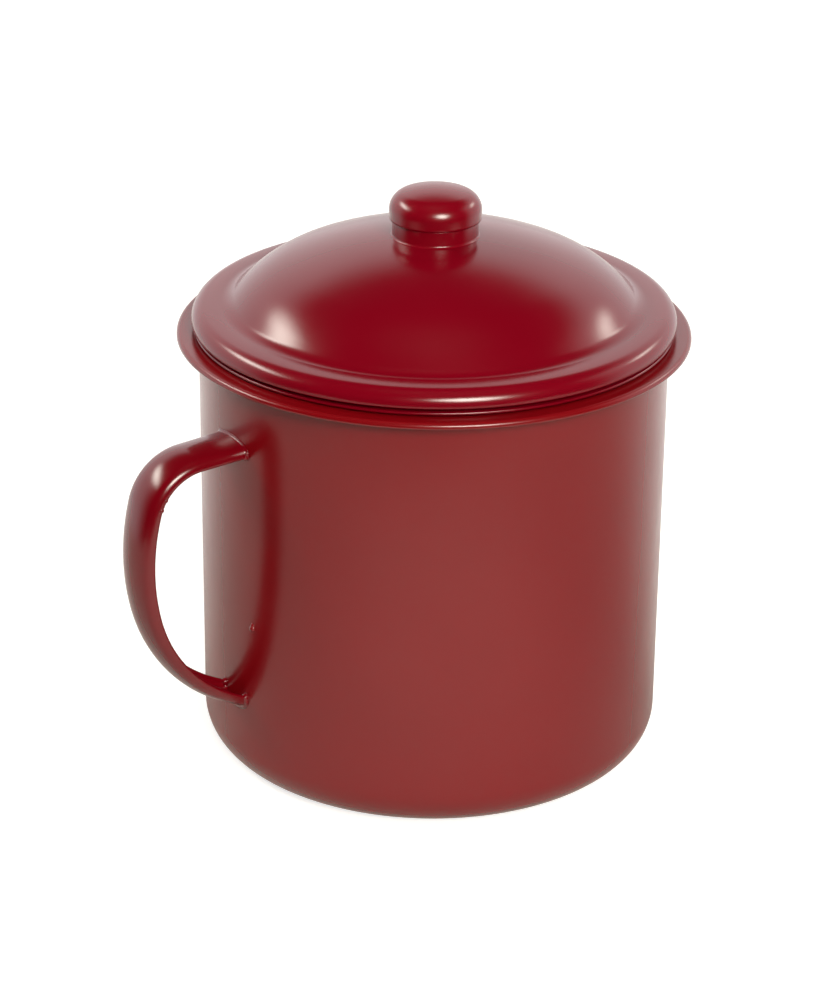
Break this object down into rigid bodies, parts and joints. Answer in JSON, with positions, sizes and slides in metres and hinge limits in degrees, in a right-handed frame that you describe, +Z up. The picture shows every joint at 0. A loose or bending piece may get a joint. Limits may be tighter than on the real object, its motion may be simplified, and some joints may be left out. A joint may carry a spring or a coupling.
{
  "type": "lidded metal mug canister",
  "caption": "Large straight-sided coated metal mug canister with a turned-out lip, a welded strap handle and a loose domed lid with a knob, for keeping or carrying food and drink.",
  "frame": {"origin": "centre of the flat resting face, on the cup's axis", "axes": "+Z up along the cup's axis, -X out through the middle of the handle, +Y across it"},
  "size_m": [0.155, 0.1312, 0.1513],
  "materials": {
    "cup_coat": "satin",
    "handle_coat": "gloss",
    "lid_coat": "semi-gloss",
    "knob_coat": "semi-gloss",
    "bare_steel": "bright"
  },
  "bodies": {
    "cup": {"cup_body": "cup_coat", "handle_strap": "handle_coat", "upper_handle_welds": "handle_coat", "lower_handle_welds": "handle_coat"},
    "lid": {"lid_shell": "lid_coat", "lid_collar": "lid_coat", "knob_cap": "knob_coat", "knob_neck": "knob_coat", "knob_insert": "bare_steel", "knob_washer": "bare_steel", "knob_screw": "bare_steel"}
  },
  "joints": [
    {"name": "lid_lift", "type": "slide", "parent": "cup", "child": "lid", "axis": [0, 0, 1], "range_m": [0, 0.12]}
  ]
}
